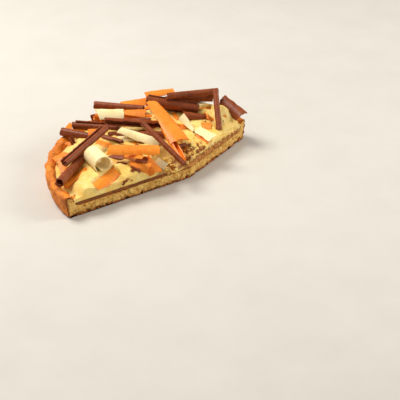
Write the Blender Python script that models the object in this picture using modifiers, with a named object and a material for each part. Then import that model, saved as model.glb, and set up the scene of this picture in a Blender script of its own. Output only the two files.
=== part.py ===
"""Half of a round cream pie, cut across its middle, with a sliver gone from its right end.

A short pastry case carries a layer of caramel and a thick bed of whipped cream, and a heap of
chocolate rolls and shavings in three colours lies on the cream.

Frame: millimetres in the tables below, metres in the scene. +Z is up, and the origin is the round
pie's own centre on its underside. +X runs along the main cut, +Y from the cut to the round rim.
"""

import math

import bmesh
import bpy
from mathutils import Matrix, Vector
from mathutils.bvhtree import BVHTree

MM = 0.001

# Driving dimensions, in millimetres.
BASE_RADIUS = 126.5  # of the case where it stands
RIM_RADIUS = 130.0  # of the case at its rim
RIM_HEIGHT = 22.4
BACK_RISE = 3.5  # the rim stands this much higher round the back
RIM_WAVES = 7.0  # slow rises and falls of the rim, once round
RIM_WAVE_HEIGHT = 0.5
FLUTE_DEPTH = 1.1
FLUTE_SPACING = 25.0  # along the rim
FLUTED_BAND = 5.0  # how far in from the rim the flutes reach
WALL = 9.0
FLOOR = 11.0  # thickness of the pastry floor
GAP = 0.3  # between neighbouring solids
CARAMEL_THIN = 3.6  # at the left of the cut
CARAMEL_THICK = 7.6  # at the right, where the knife spread it
CARAMEL_THICKENS = (-10.0, 40.0)  # along X, from where to where
CARAMEL_CELL = 10.0  # of the grid that the caramel's surface is made on
CROWN = 30.0  # height of the cream bed in its middle
CREAM_BELOW_RIM = 1.5  # where the cream meets the case
LEAST_CREAM = 3.0  # over the caramel
FURROW_HEIGHT = 1.5  # of the soft furrows that a spoon leaves
BACK_HEAP = 7.0  # extra cream heaped along the back
BACK_HEAP_TURN = 72.0  # where the heaped cream is highest, in degrees round the pie
BACK_HEAP_SPREAD = 56.0  # degrees
CUT_FALL = 7.0  # how far the cream sinks towards the cuts
CUT_FALL_WIDTH = 11.0
PEAK = (101.0, 50.0)  # where one spoonful of cream stands up near the right end
PEAK_RISE = 13.0
PEAK_WIDTH = 14.0
CELL = 4.6  # of the grid that the cream's surface is made on

# The two cuts. Each keeps what lies on its left when one looks along it.
MAIN_CUT_Y = -2.0
CUT_APEX = (20.0, MAIN_CUT_Y)
SIDE_CUT_TURN = math.radians(21.75)

TURN_STEPS = 72
REACH = 150.0  # past the pie on every side, for blocks that are trimmed afterwards
FRONT_MARGIN = 8.0  # how far such a block stands out in front of the main cut
SCOOP_SIZE = (24.0, 33.0, 19.5)  # half sizes of the hollow where the two cuts meet
SCOOP_CENTRE = (0.0, -9.0, 30.6)

MATERIALS = {
    "pastry": ((0.70, 0.40, 0.14, 1.0), 0.80),
    "caramel": ((0.27, 0.11, 0.03, 1.0), 0.45),
    "cream": ((0.93, 0.84, 0.58, 1.0), 0.55),
    "milk_chocolate": ((0.20, 0.07, 0.04, 1.0), 0.42),
    "caramel_chocolate": ((0.84, 0.40, 0.10, 1.0), 0.42),
    "white_chocolate": ((0.90, 0.83, 0.60, 1.0), 0.42),
}


def smoothstep(low, high, value):
    """0 below low, 1 above high, and a smooth rise between."""
    share = min(max((value - low) / (high - low), 0.0), 1.0)
    return share * share * (3.0 - 2.0 * share)


def cut_distance(x, y):
    """How far a point lies behind the nearer cut, negative in front of it."""
    main = y - MAIN_CUT_Y
    side = (y - CUT_APEX[1]) * math.cos(SIDE_CUT_TURN) - (x - CUT_APEX[0]) * math.sin(SIDE_CUT_TURN)
    return min(main, side)


def rim_rise(angle):
    """How much higher the rim stands at this angle, highest round the back."""
    back = math.radians(104.0)
    spread = math.radians(62.0)
    away = abs((angle - back + math.pi) % (2.0 * math.pi) - math.pi)
    return BACK_RISE * (1.0 - smoothstep(0.0, spread, away)) + RIM_WAVE_HEIGHT * math.sin(RIM_WAVES * angle)


def caramel_top(x):
    """Height of the caramel's upper side, in straight stretches from thin to thick."""
    thin = FLOOR + GAP + CARAMEL_THIN
    thick = FLOOR + GAP + CARAMEL_THICK
    start, end = CARAMEL_THICKENS
    return thin + (thick - thin) * min(max((x - start) / (end - start), 0.0), 1.0)


def cream_height(x, y):
    """Height of the cream bed: a crown that falls to the rim and to both cuts, with soft furrows."""
    radius = math.hypot(x, y)
    share = min(radius / (RIM_RADIUS - WALL), 1.0)
    edge = RIM_HEIGHT - CREAM_BELOW_RIM + max(rim_rise(math.atan2(y, x)), 0.0)
    crown = edge + (CROWN - edge) * (1.0 - share**3.4)
    furrows = FURROW_HEIGHT * math.sin(x / 8.5 + 1.4 * math.sin(y / 12.0)) * math.cos(y / 10.5 + 0.6)
    away = (math.degrees(math.atan2(y, x)) - BACK_HEAP_TURN) / BACK_HEAP_SPREAD
    heap = BACK_HEAP * smoothstep(0.35, 0.8, share) * (1.0 - share**12) * math.exp(-away * away)
    behind = max(cut_distance(x, y), 0.0)
    fall = CUT_FALL * math.exp(-behind / CUT_FALL_WIDTH)
    heap += PEAK_RISE * math.exp(-(math.dist((x, y), PEAK) / PEAK_WIDTH) ** 2)
    height = crown + heap + furrows * (1.0 - share**6) - fall
    return max(height, caramel_top(x) + LEAST_CREAM)


# ---------------------------------------------------------------------------------------------
# Scene helpers


def clear_scene():
    for item in list(bpy.data.objects):
        bpy.data.objects.remove(item, do_unlink=True)


def new_collection(name):
    collection = bpy.data.collections.new(name)
    bpy.context.scene.collection.children.link(collection)
    return collection


def make_materials():
    for name, (colour, roughness) in MATERIALS.items():
        material = bpy.data.materials.new(name)
        material.use_nodes = True
        shader = material.node_tree.nodes["Principled BSDF"]
        shader.inputs["Base Color"].default_value = colour
        shader.inputs["Roughness"].default_value = roughness
        shader.inputs["Metallic"].default_value = 0.0


def object_from(bm, name, collection, material=None):
    """Turns the bmesh, in millimetres, into an object in metres."""
    bmesh.ops.scale(bm, vec=(MM, MM, MM), verts=bm.verts)
    mesh = bpy.data.meshes.new(name)
    bm.to_mesh(mesh)
    bm.free()
    made = bpy.data.objects.new(name, mesh)
    collection.objects.link(made)
    if material:
        mesh.materials.append(bpy.data.materials[material])
    return made


def hide_cutter(cutter):
    cutter.hide_render = True
    cutter.display_type = "WIRE"


def boolean(target, cutter, operation):
    modifier = target.modifiers.new(operation.title(), "BOOLEAN")
    modifier.operation = operation
    modifier.object = cutter
    modifier.solver = "EXACT"


# ---------------------------------------------------------------------------------------------
# Pastry, caramel and cream


def spin_profile(profile):
    """A closed turned solid, from (radius, height) points that start and end on the axis."""
    bm = bmesh.new()
    verts = [bm.verts.new((radius, 0.0, height)) for radius, height in profile]
    for first, second in zip(verts, verts[1:]):
        bm.edges.new((first, second))
    bmesh.ops.spin(
        bm,
        geom=bm.verts[:] + bm.edges[:],
        axis=(0, 0, 1),
        cent=(0, 0, 0),
        steps=TURN_STEPS,
        angle=2.0 * math.pi,
        use_merge=True,
    )
    bmesh.ops.remove_doubles(bm, verts=bm.verts, dist=0.01)
    bmesh.ops.recalc_face_normals(bm, faces=bm.faces)
    return bm


def cut_to_half(bm):
    """Cuts the round solid along both cuts and closes each with a flat face."""
    side_normal = (math.sin(SIDE_CUT_TURN), -math.cos(SIDE_CUT_TURN), 0.0)
    for point, normal in (((0.0, MAIN_CUT_Y, 0.0), (0.0, -1.0, 0.0)), ((*CUT_APEX, 0.0), side_normal)):
        geometry = bm.verts[:] + bm.edges[:] + bm.faces[:]
        cut = bmesh.ops.bisect_plane(
            bm, geom=geometry, dist=0.001, plane_co=point, plane_no=normal, clear_outer=True
        )
        rim = [part for part in cut["geom_cut"] if isinstance(part, bmesh.types.BMEdge)]
        bmesh.ops.holes_fill(bm, edges=rim, sides=0)
    bmesh.ops.recalc_face_normals(bm, faces=bm.faces)
    bmesh.ops.triangulate(bm, faces=[face for face in bm.faces if len(face.verts) > 4])


def raise_rim(bm):
    """Lifts everything above the floor by as much as the rim rises at that angle."""
    for vert in bm.verts:
        lift = smoothstep(FLOOR + 1.0, RIM_HEIGHT, vert.co.z)
        vert.co.z += rim_rise(math.atan2(vert.co.y, vert.co.x)) * lift


def make_crust(collection):
    """The pastry case: a thick floor and a flared, gently fluted wall with a rounded rim."""
    inner = RIM_RADIUS - WALL
    profile = [
        (0.0, FLOOR),
        (inner - 7.0, FLOOR),
        (inner - 3.5, FLOOR + 1.2),
        (inner - 1.8, FLOOR + 4.0),
        (inner - 0.4, RIM_HEIGHT - 2.2),
        (inner + 1.4, RIM_HEIGHT - 0.5),
        (inner + 4.6, RIM_HEIGHT + 0.4),
        (RIM_RADIUS - 1.4, RIM_HEIGHT - 0.5),
        (RIM_RADIUS, RIM_HEIGHT - 2.4),
        (RIM_RADIUS - 1.6, RIM_HEIGHT * 0.5),
        (BASE_RADIUS + 0.4, 2.0),
        (BASE_RADIUS - 1.2, 0.0),
        (0.0, 0.0),
    ]
    bm = spin_profile(profile)
    raise_rim(bm)
    flutes = round(2.0 * math.pi * RIM_RADIUS / FLUTE_SPACING)
    for vert in bm.verts:
        radius = math.hypot(vert.co.x, vert.co.y)
        angle = math.atan2(vert.co.y, vert.co.x)
        if radius > RIM_RADIUS - FLUTED_BAND:
            uneven = 0.35 * math.sin(3.0 * angle + 0.7)
            uneven += math.sin(flutes * angle + 0.8 * math.sin(2.0 * angle))
            push = FLUTE_DEPTH * uneven * smoothstep(0.0, RIM_HEIGHT, vert.co.z)
            vert.co.x += push * math.cos(angle)
            vert.co.y += push * math.sin(angle)
    cut_to_half(bm)
    return object_from(bm, "crust", collection, "pastry")


def make_mould(collection):
    """The space inside the case, open upwards, which trims the caramel and the cream."""
    inner = RIM_RADIUS - WALL - GAP
    profile = [
        (0.0, 2.0 * REACH),
        (inner + 0.8, 2.0 * REACH),
        (inner + 0.8, RIM_HEIGHT + 3.0),
        (inner - 0.5, RIM_HEIGHT - 2.2),
        (inner - 2.2, FLOOR + 3.2),
        (inner - 3.7, FLOOR + 1.5),
        (inner - 7.0, FLOOR + GAP),
        (0.0, FLOOR + GAP),
    ]
    bm = spin_profile(profile)
    raise_rim(bm)
    cut_to_half(bm)
    mould = object_from(bm, "inside_of_case", collection)
    hide_cutter(mould)
    return mould


def make_scoop(collection):
    """Where the two cuts meet, cream and caramel have slid off the floor."""
    bm = bmesh.new()
    bmesh.ops.create_uvsphere(bm, u_segments=18, v_segments=10, radius=1.0)
    bmesh.ops.scale(bm, vec=SCOOP_SIZE, verts=bm.verts)
    bmesh.ops.translate(bm, vec=SCOOP_CENTRE, verts=bm.verts)
    scoop = object_from(bm, "scoop_at_apex", collection)
    hide_cutter(scoop)
    return scoop


def filling_block(top, bottom, cell):
    """A slab over the whole pie with the heights that top(x, y) and bottom(x, y) give."""
    bm = bmesh.new()
    across = round(2.0 * REACH / cell)
    bmesh.ops.create_grid(bm, x_segments=across, y_segments=across // 2, size=REACH)
    bmesh.ops.scale(bm, vec=(1.0, 0.5, 1.0), verts=bm.verts)
    bmesh.ops.translate(bm, vec=(0.0, 0.5 * REACH - FRONT_MARGIN, 0.0), verts=bm.verts)
    lower = bm.verts[:]
    upper = bmesh.ops.extrude_face_region(bm, geom=bm.faces[:])["geom"]
    raised = {part for part in upper if isinstance(part, bmesh.types.BMVert)}
    for vert in lower:
        vert.co.z = bottom(vert.co.x, vert.co.y)
    for vert in raised:
        vert.co.z = top(vert.co.x, vert.co.y)
    bmesh.ops.recalc_face_normals(bm, faces=bm.faces)
    return bm


def make_caramel(collection, mould, scoop):
    bm = filling_block(lambda x, y: caramel_top(x), lambda x, y: 0.0, CARAMEL_CELL)
    caramel = object_from(bm, "caramel", collection, "caramel")
    boolean(caramel, mould, "INTERSECT")
    boolean(caramel, scoop, "DIFFERENCE")
    return caramel


def make_cream(collection, mould, scoop):
    bm = filling_block(cream_height, lambda x, y: caramel_top(x) + GAP, CELL)
    cream = object_from(bm, "cream", collection, "cream")
    boolean(cream, mould, "INTERSECT")
    boolean(cream, scoop, "DIFFERENCE")
    return cream


# ---------------------------------------------------------------------------------------------
# Chocolate rolls and shavings

ROLL_STEP = math.radians(34.0)  # of one facet round a roll
SLAB_STEPS = 4
ROLL_PITCH = 1.9  # between the turns of a roll
SHEET = 1.1  # thickness of the chocolate


def sheet_section(across, radius, sweep, pitch):
    """A point of the curled sheet's cross-section, across from 0 to 1, seen along its axis."""
    turned = sweep * (across - 0.5)
    reach = radius - pitch * sweep * across / (2.0 * math.pi)
    return reach * math.sin(turned), reach * math.cos(turned)


def make_sheet(name, collection, material, shape):
    """A curled sheet of chocolate with its axis along local X, centred on its own origin.

    shape holds length, radius, sweep in degrees, pitch, slant of each end, narrow of each end,
    taper (radius at the far end as a share of the near one) and bow, the rise of its middle.
    """
    sweep = math.radians(shape["sweep"])
    around = max(SLAB_STEPS, round(sweep / ROLL_STEP))
    along = 4 if shape["bow"] else 1
    bm = bmesh.new()
    bmesh.ops.create_grid(bm, x_segments=along, y_segments=around, size=0.5)
    for vert in bm.verts:
        u = vert.co.x + 0.5
        v = vert.co.y + 0.5
        wide = shape["narrow"][0] * (1.0 - u) + shape["narrow"][1] * u
        across = 0.5 + (v - 0.5) * wide
        side, rise = sheet_section(across, shape["radius"], sweep, shape["pitch"])
        swell = 1.0 + (shape["taper"] - 1.0) * u
        slant = shape["slant"][0] * (1.0 - u) + shape["slant"][1] * u
        vert.co.x = shape["length"] * (u - 0.5) + slant * (v - 0.5)
        vert.co.y = side * swell
        vert.co.z = rise * swell + shape["bow"] * (1.0 - (2.0 * u - 1.0) ** 2)
    low = Vector([min(vert.co[i] for vert in bm.verts) for i in range(3)])
    high = Vector([max(vert.co[i] for vert in bm.verts) for i in range(3)])
    bmesh.ops.translate(bm, vec=-(low + high) / 2.0, verts=bm.verts)
    made = object_from(bm, name, collection, material)
    shell = made.modifiers.new("Thickness", "SOLIDIFY")
    shell.thickness = shape["sheet"] * MM
    shell.offset = 0.0
    return made


def roll(radius, turns=1.4, pitch=ROLL_PITCH, slant=(0, 0), narrow=(1, 1), taper=1.0, bow=0.0):
    """Shape of a tight roll, all but its length."""
    return {
        "radius": radius,
        "sweep": 360.0 * turns,
        "pitch": pitch,
        "slant": slant,
        "narrow": narrow,
        "taper": taper,
        "bow": bow,
        "sheet": SHEET,
    }


def slab(width, bend=50.0, slant=(0, 0), narrow=(1, 1), bow=0.0):
    """Shape of a wide shaving that only bends a little, all but its length."""
    return {
        "radius": width / math.radians(bend),
        "sweep": bend,
        "pitch": 0.0,
        "slant": slant,
        "narrow": narrow,
        "taper": 1.0,
        "bow": bow,
        "sheet": SHEET,
    }


# The heap is drawn from one viewpoint, on a picture plane 400 units wide and high. A mark on the
# plane stands for a line of sight, and a height picks one point on it.
EYE = Vector((-652.02, -918.625, 613.486))
AIM = Vector((-0.538, -45.867, 0.0))
EYE_ROLL = math.radians(0.71647)
PLANE_DISTANCE = 1250.0  # in the plane's own units
PLANE_MIDDLE = 200.0
FORWARD = (AIM - EYE).normalized()
RIGHTWARD = FORWARD.cross(Vector((0.0, 0.0, 1.0))).normalized()
UPWARD = RIGHTWARD.cross(FORWARD)

USUAL_REST = 36.0  # height at which a sheet's middle mostly comes to rest
RIM_REACH = 121.0  # a middle further out than this would hang over the rim
SWINGS = (0.0, -6.0, 6.0, -12.0, 12.0)  # changes that are tried to how much an end is raised
LIFTED_TRIES = ((0.0, 6.0), (0.0, -5.0), (6.0, 6.0), (-6.0, 6.0))  # more rise, and more height
HEIGHT_TRIALS = 4  # rounds in the search for a sheet's height
HEIGHT_MATCH = 0.6  # how near the height that was sought must come to the one where it rests
HEIGHT_LIMIT = 80.0  # a sheet that rests higher than this was not laid well
RISE_COST = 0.06  # of changing an end's height, against one more millimetre of height
MISS_COST = 2.5  # of one unit beside the mark
RIM_COST = 4.0  # of hanging over the rim


def seen_at(mark, height):
    """The point at this height that lies behind a mark on the picture plane."""
    right, down = mark[0] - PLANE_MIDDLE, mark[1] - PLANE_MIDDLE
    across = right * math.cos(EYE_ROLL) + down * math.sin(EYE_ROLL)
    below = down * math.cos(EYE_ROLL) - right * math.sin(EYE_ROLL)
    sight = FORWARD * PLANE_DISTANCE + RIGHTWARD * across - UPWARD * below
    return EYE + sight * ((height - EYE.z) / sight.z)


def mark_of(point):
    """Where a point is seen on the picture plane."""
    sight = point - EYE
    scale = PLANE_DISTANCE / sight.dot(FORWARD)
    across, below = sight.dot(RIGHTWARD) * scale, -sight.dot(UPWARD) * scale
    right = across * math.cos(EYE_ROLL) - below * math.sin(EYE_ROLL)
    down = across * math.sin(EYE_ROLL) + below * math.cos(EYE_ROLL)
    return right + PLANE_MIDDLE, down + PLANE_MIDDLE


def seen(first, last, rise, swing=12.0, lifts=False, height=USUAL_REST):
    """A place given by the marks of a sheet's two ends, and how much higher its last end lies.

    The rise may change by up to swing to let the sheet sink lower. Where lifts is true, the search
    for its height also starts a little above and below.
    """
    tries = [(more, 0.0) for more in SWINGS if abs(more) <= swing]
    tries += LIFTED_TRIES if lifts else ()
    return {"first": first, "last": last, "rise": rise, "tries": tries, "height": height}


def lies(centre, heading, tilt, length):
    """A place given outright: the centre in the plan, heading and tilt in degrees, and the length.

    It serves sheets that are hidden from the viewpoint and sheets that the search lays badly.
    """
    return {"lie": (centre, heading, tilt, length)}


MILK = "milk_chocolate"
CARAMEL = "caramel_chocolate"
WHITE = "white_chocolate"

# Each topping: name, material, place, turn about its own axis in degrees, how deep it may sink
# into the cream, and its shape. They are laid on the heap in this order.
TOPPINGS = [
    ("milk_roll_far_left", MILK, lies((-6, 112), -8, 0, 38), 60, 1, roll(4.8, turns=1.4, slant=(2, 0))),
    (
        "caramel_slab_far", CARAMEL, lies((28, 103), -35, 0, 30), -20, 1,
        slab(14, bend=70, slant=(3, -2)),
    ),
    ("milk_roll_far", MILK, lies((62, 92), -42, 0, 40), 20, 1, roll(4.8, turns=1.4, slant=(-2, 2))),
    ("white_slab_far", WHITE, lies((84, 80), -48, 0, 24), -15, 1, slab(13, bend=80, slant=(-2, 2))),
    (
        "caramel_slab_rim", CARAMEL, seen((53.7, 160), (66, 153), 3), -5, 1.5,
        slab(9, bend=30, slant=(2, -2)),
    ),
    (
        "caramel_slab_left", CARAMEL, seen((62, 157.5), (63.5, 173), -1), 10, 1.5,
        slab(10, bend=35, narrow=(1, 0.7)),
    ),
    (
        "caramel_strip_left", CARAMEL, seen((64.8, 186), (85, 167.5), 5), -12, 1.5,
        slab(10, bend=40, slant=(2, 3), narrow=(0.8, 1)),
    ),
    (
        "caramel_chip_left", CARAMEL, seen((66, 143.5), (72, 144.5), 0), 15, 2,
        slab(6, bend=40, narrow=(0.7, 1)),
    ),
    (
        "caramel_slab_back_left", CARAMEL, seen((67, 131), (71, 123.5), 4), 10, 2,
        slab(8, bend=40, narrow=(1, 0.5)),
    ),
    (
        "caramel_slab_hanging", CARAMEL, lies((-27, 2), -88, -35, 20), 5, 2.5,
        slab(14, bend=60, narrow=(0.75, 1)),
    ),
    (
        "white_chip_front", WHITE, lies((-14, 3), -60, -25, 12), 35, 2,
        slab(10, bend=35, narrow=(0.8, 0.9)),
    ),
    (
        "caramel_leaf_front", CARAMEL, seen((129.5, 163), (148, 168), -2), 25, 2,
        slab(15, bend=110, narrow=(0.4, 0.9)),
    ),
    ("milk_chunk_front", MILK, seen((118, 164), (127, 165.5), 0), 60, 3.5, roll(3.2, turns=1.1)),
    (
        "milk_slab_behind_leaf", MILK, seen((136.5, 156.5), (147.5, 161), -4), 20, 2,
        slab(11, bend=30, narrow=(1, 0.6)),
    ),
    (
        "caramel_shard_front", CARAMEL, seen((121.5, 155.5), (142.5, 158), 0), 20, 2,
        slab(9, bend=35, narrow=(0.6, 0.5)),
    ),
    (
        "milk_shard_front", MILK, seen((109, 157.5), (124, 156), 2), 15, 2,
        slab(11, bend=30, narrow=(0.15, 1)),
    ),
    ("milk_chunk_right", MILK, seen((178, 147), (185, 145), 0), 40, 3.5, roll(3.4, turns=1.1)),
    (
        "caramel_slab_folded", CARAMEL, lies((-78, 5), 12, 6, 34), 20, 3,
        slab(20, bend=100, slant=(2, 2), narrow=(0.55, 0.9)),
    ),
    (
        "milk_roll_front_left", MILK, seen((59.2, 182.3), (84.1, 155.9), 7), 15, 3.5,
        roll(5.2, turns=1.3, slant=(0, -2)),
    ),
    (
        "white_curl", WHITE, seen((93, 152), (104, 163), -1, swing=0, height=34), 20, 3.5,
        roll(11, turns=1.35, pitch=3.6, slant=(0, 3)),
    ),
    (
        "milk_roll_middle", MILK, seen((109, 134.4), (165, 134), 0), 20, 3.5,
        roll(4.5, turns=1.5, slant=(2, 3)),
    ),
    (
        "caramel_slab_front", CARAMEL, seen((108, 151), (158.5, 149), 0, lifts=True), 18, 2,
        slab(17, bend=100, slant=(3, 0), narrow=(0.75, 1)),
    ),
    (
        "caramel_slab_middle", CARAMEL, seen((97, 142.5), (111, 147.5), -1), 8, 2,
        slab(11, bend=45, narrow=(0.7, 1)),
    ),
    (
        "milk_roll_pointed", MILK, seen((98.8, 135.7), (121.5, 143), -2), -60, 3.5,
        roll(3.8, turns=0.9, narrow=(1, 0.6), taper=0.7),
    ),
    ("caramel_strip_right", CARAMEL, seen((196.5, 134.3), (208.5, 141.6), -3), 25, 2, slab(6, bend=45)),
    (
        "caramel_slab_right", CARAMEL, seen((202, 127), (211.5, 127), 0), 25, 2,
        slab(11, bend=45, narrow=(1, 0.8)),
    ),
    ("white_slab_right", WHITE, seen((197, 129), (212.5, 138), -4), 20, 2, slab(10, bend=50)),
    (
        "milk_roll_right", MILK, seen((183.3, 115.2), (208, 119), 0), 60, 3.5,
        roll(4.6, turns=1.3, slant=(0, 3)),
    ),
    (
        "caramel_chip_right", CARAMEL, seen((198.7, 110.5), (210.5, 110.5), 0), 30, 2,
        slab(11, bend=50, narrow=(0.2, 1)),
    ),
    (
        "caramel_shard_right", CARAMEL, seen((206.5, 116), (213.5, 121), -2, swing=6), 30, 2,
        slab(7, bend=50, narrow=(1, 0.6)),
    ),
    (
        "milk_roll_rim", MILK, seen((62, 131.5), (92, 137.3), 0, height=32), 30, 3.5,
        roll(5, turns=1.3, taper=0.85, slant=(3, 0)),
    ),
    (
        "milk_roll_left", MILK, seen((72.5, 125), (118, 128.3), 0, height=36), 100, 3.5,
        roll(5.1, turns=1.5, slant=(-5, 0)),
    ),
    ("caramel_slab_far_left", CARAMEL, seen((88, 132.5), (100, 131.5), 0), 20, 2, slab(8, bend=40)),
    (
        "milk_roll_torn", MILK, seen((164.2, 106), (184, 112), -1, height=40), -70, 3.5,
        roll(4, turns=0.8, slant=(2, 4)),
    ),
    (
        "white_slab_folded", WHITE, seen((180, 117), (194, 130), -6), 5, 2,
        slab(13, bend=80, narrow=(0.7, 1)),
    ),
    (
        "caramel_roll_left", CARAMEL, seen((94, 117), (150.3, 117.5), 0, height=36), 40, 3.5,
        roll(3.9, turns=1.2, taper=0.9, slant=(2, 0)),
    ),
    (
        "milk_curl_middle", MILK, seen((105, 121.5), (165, 125), 0), -95, 3.5,
        roll(4.4, turns=0.78, slant=(3, 0)),
    ),
    (
        "caramel_slab_upper_left", CARAMEL, seen((120.8, 113), (145, 113.5), 0), 25, 2,
        slab(11, bend=40, narrow=(0.5, 1)),
    ),
    (
        "white_slab_left", WHITE, seen((97, 112), (123, 112), 0, height=38), 35, 2,
        slab(13, bend=55, slant=(-3, 3)),
    ),
    (
        "white_slab_middle", WHITE, seen((120.5, 128.5), (160, 143), -5, lifts=True), 12, 2,
        slab(14, bend=90, slant=(4, 3)),
    ),
    (
        "milk_roll_top_left", MILK, seen((94.4, 104.6), (143.5, 109), 0, lifts=True, height=42), 10, 3.5,
        roll(4.8, turns=1.5, slant=(1, 2)),
    ),
    (
        "milk_roll_top", MILK, seen((147.3, 99.8), (197.9, 107.9), 0, height=44), 80, 3.5,
        roll(6.3, turns=1.4, taper=0.88, slant=(-2, 2)),
    ),
    (
        "milk_roll_back", MILK, seen((169.3, 98.3), (211.9, 96.9), 0, height=44), 20, 3.5,
        roll(5, turns=1.4, taper=1.1, slant=(3, 0)),
    ),
    (
        "caramel_slab_back_a", CARAMEL, lies((26, 108), -24, 1, 33), 20, 2,
        slab(11, bend=50, narrow=(0.7, 1)),
    ),
    (
        "caramel_slab_back_b", CARAMEL, lies((52, 100), -18, 1, 32), 20, 2,
        slab(11, bend=50, narrow=(1, 0.6)),
    ),
    (
        "milk_roll_back_top", MILK, seen((166.4, 95.8), (217, 90.6), 2, height=48), 0, 3.5,
        roll(4, turns=1.3, slant=(2, 0)),
    ),
    (
        "milk_curl_long", MILK, seen((64.3, 162.9), (105.4, 127.7), 12, lifts=True), 95, 3.5,
        roll(5.3, turns=1.05, pitch=4, slant=(0, 0)),
    ),
    ("milk_roll_twin", MILK, seen((71, 136.5), (75, 146.5), -4), 180, 3.5, roll(2.8, turns=0.9)),
    (
        "caramel_curl_leaning", CARAMEL, seen((164, 127), (182.5, 160), -15), 160, 3.5,
        roll(4.3, turns=0.8),
    ),
    (
        "milk_roll_leaning", MILK, seen((143, 124.1), (184.8, 165.2), -30, swing=6, lifts=True), 0, 3.5,
        roll(3.4, turns=1.4),
    ),
    (
        "caramel_slab_big", CARAMEL, seen((152, 101), (180, 138), -12, swing=6), -5, 2,
        slab(21, bend=70, narrow=(0.68, 1), bow=1.5),
    ),
    (
        "milk_curl_right", MILK,
        seen((215.5, 91.7), (219.2, 130.6), -24, swing=6, lifts=True, height=42), 0, 3.5,
        roll(3.5, turns=1, slant=(2, -2)),
    ),
    (
        "milk_slab_right", MILK, lies((108, 45), -90, -12, 33), 40, 2,
        slab(21, bend=150, narrow=(0.7, 1), slant=(-3, 3)),
    ),
]

SAMPLE_STEP = 1.6 * MM  # between the points of an edge that are tried for a touch
HEAP_GAP = 0.45 * MM  # between two sheets
DROP_FROM = 0.2
FREE_FALL = 2.0 * DROP_FROM  # further than any sheet can fall
PRESS_GAP = 0.6 * MM  # between a sheet and the cream that it pressed down
PRESS_RIPPLE = 0.05 * MM
PRESSED_BED = 1.2  # the cream over the caramel that is never pressed
PRESSED_LEAST = 0.3  # and what at least stays on it
CELL_SHARE = 1.04  # how much of a cell round a point is searched, a little more than one
SQUARE = 1.0 * MM


def world_mesh(item):
    """Points, faces and edges of the object, modifiers included, in world space."""
    graph = bpy.context.evaluated_depsgraph_get()
    finished = item.evaluated_get(graph)
    mesh = finished.to_mesh()
    points = [item.matrix_world @ vert.co for vert in mesh.vertices]
    faces = [tuple(face.vertices) for face in mesh.polygons]
    edges = [tuple(edge.vertices) for edge in mesh.edges]
    finished.to_mesh_clear()
    return points, faces, edges


def edge_samples(points, edges):
    """Points along every edge, close enough together to find where two pieces would touch."""
    samples = list(points)
    for first, second in edges:
        start, end = points[first], points[second]
        steps = int((end - start).length / SAMPLE_STEP)
        samples += [start.lerp(end, (step + 1.0) / (steps + 1.0)) for step in range(steps)]
    return samples


class Layer:
    """Something that a topping can come to rest on."""

    def __init__(self, item, give=0.0):
        points, faces, edges = world_mesh(item)
        self.tree = BVHTree.FromPolygons(points, faces)
        self.samples = edge_samples(points, edges)
        self.low = [min(point[i] for point in points) for i in range(2)]
        self.high = [max(point[i] for point in points) for i in range(2)]
        self.soft = give > 0.0

    def meets(self, other):
        return all(self.low[i] < other.high[i] and self.high[i] > other.low[i] for i in range(2))


def room_below(piece, layer):
    """How far the piece can fall before it touches the layer."""
    down, up = Vector((0, 0, -1)), Vector((0, 0, 1))
    room = FREE_FALL
    for point in piece.samples:
        hit = layer.tree.ray_cast(point, down)
        if hit[0] is not None:
            room = min(room, hit[3])
    for point in layer.samples:
        if all(piece.low[i] <= point[i] <= piece.high[i] for i in range(2)):
            hit = piece.tree.ray_cast(point, up)
            if hit[0] is not None:
                room = min(room, hit[3])
    return room


def settle(item, layers, sink):
    """Lowers the piece until it rests on the layers, sunk a little where they are soft."""
    item.location.z = DROP_FROM
    bpy.context.view_layer.update()
    piece = Layer(item)
    room = FREE_FALL
    for layer in layers:
        if piece.meets(layer):
            give = sink * MM if layer.soft else -HEAP_GAP
            room = min(room, room_below(piece, layer) + give)
    item.location.z -= room
    bpy.context.view_layer.update()


def square_at(x, y):
    """The square of the cream's own grid that a point in the plan falls into."""
    return math.floor(x / SQUARE), math.floor(y / SQUARE)


def squares_near(x, y):
    """Every square with a corner of the cream's cell that lies under this point."""
    reach = CELL_SHARE * CELL * MM
    low, high = square_at(x - reach, y - reach), square_at(x + reach, y + reach)
    return [(i, j) for i in range(low[0], high[0] + 1) for j in range(low[1], high[1] + 1)]


def lay_sheet(name, collection, material, lie, turn, sink, shape, layers):
    """Makes a sheet that lies as told, lowered until it rests."""
    (x, y), heading, tilt, length = lie
    item = make_sheet(name, collection, material, {**shape, "length": length})
    item.location = (x * MM, y * MM, 0.0)
    item.rotation_euler = (math.radians(turn), math.radians(-tilt), math.radians(heading))
    settle(item, layers, sink)
    return item


def lie_behind(place, rise, height):
    """The lie of a sheet whose middle is this high and whose ends are behind their marks."""
    start = seen_at(place["first"], height - rise / 2.0)
    end = seen_at(place["last"], height + rise / 2.0)
    along, middle = end - start, (start + end) / 2.0
    heading = round(math.degrees(math.atan2(along.y, along.x)))
    tilt = round(math.degrees(math.asin(along.z / along.length)))
    return (round(middle.x), round(middle.y)), heading, tilt, round(along.length)


def remove_trial(item):
    mesh = item.data
    bpy.data.objects.remove(item, do_unlink=True)
    bpy.data.meshes.remove(mesh)


def rest_behind(place, more, lift, lay):
    """Finds the height at which the sheet both rests and is seen where it should be."""
    height = place["height"] + lift
    for attempt in range(HEIGHT_TRIALS):
        lie = lie_behind(place, place["rise"] + more, height)
        trial = lay(lie)
        rested = trial.location.z / MM
        remove_trial(trial)
        if abs(rested - height) < HEIGHT_MATCH or not 0.0 <= rested <= HEIGHT_LIMIT:
            break
        height = rested if attempt < HEIGHT_TRIALS // 2 else (height + rested) / 2.0
    return lie, rested


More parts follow.
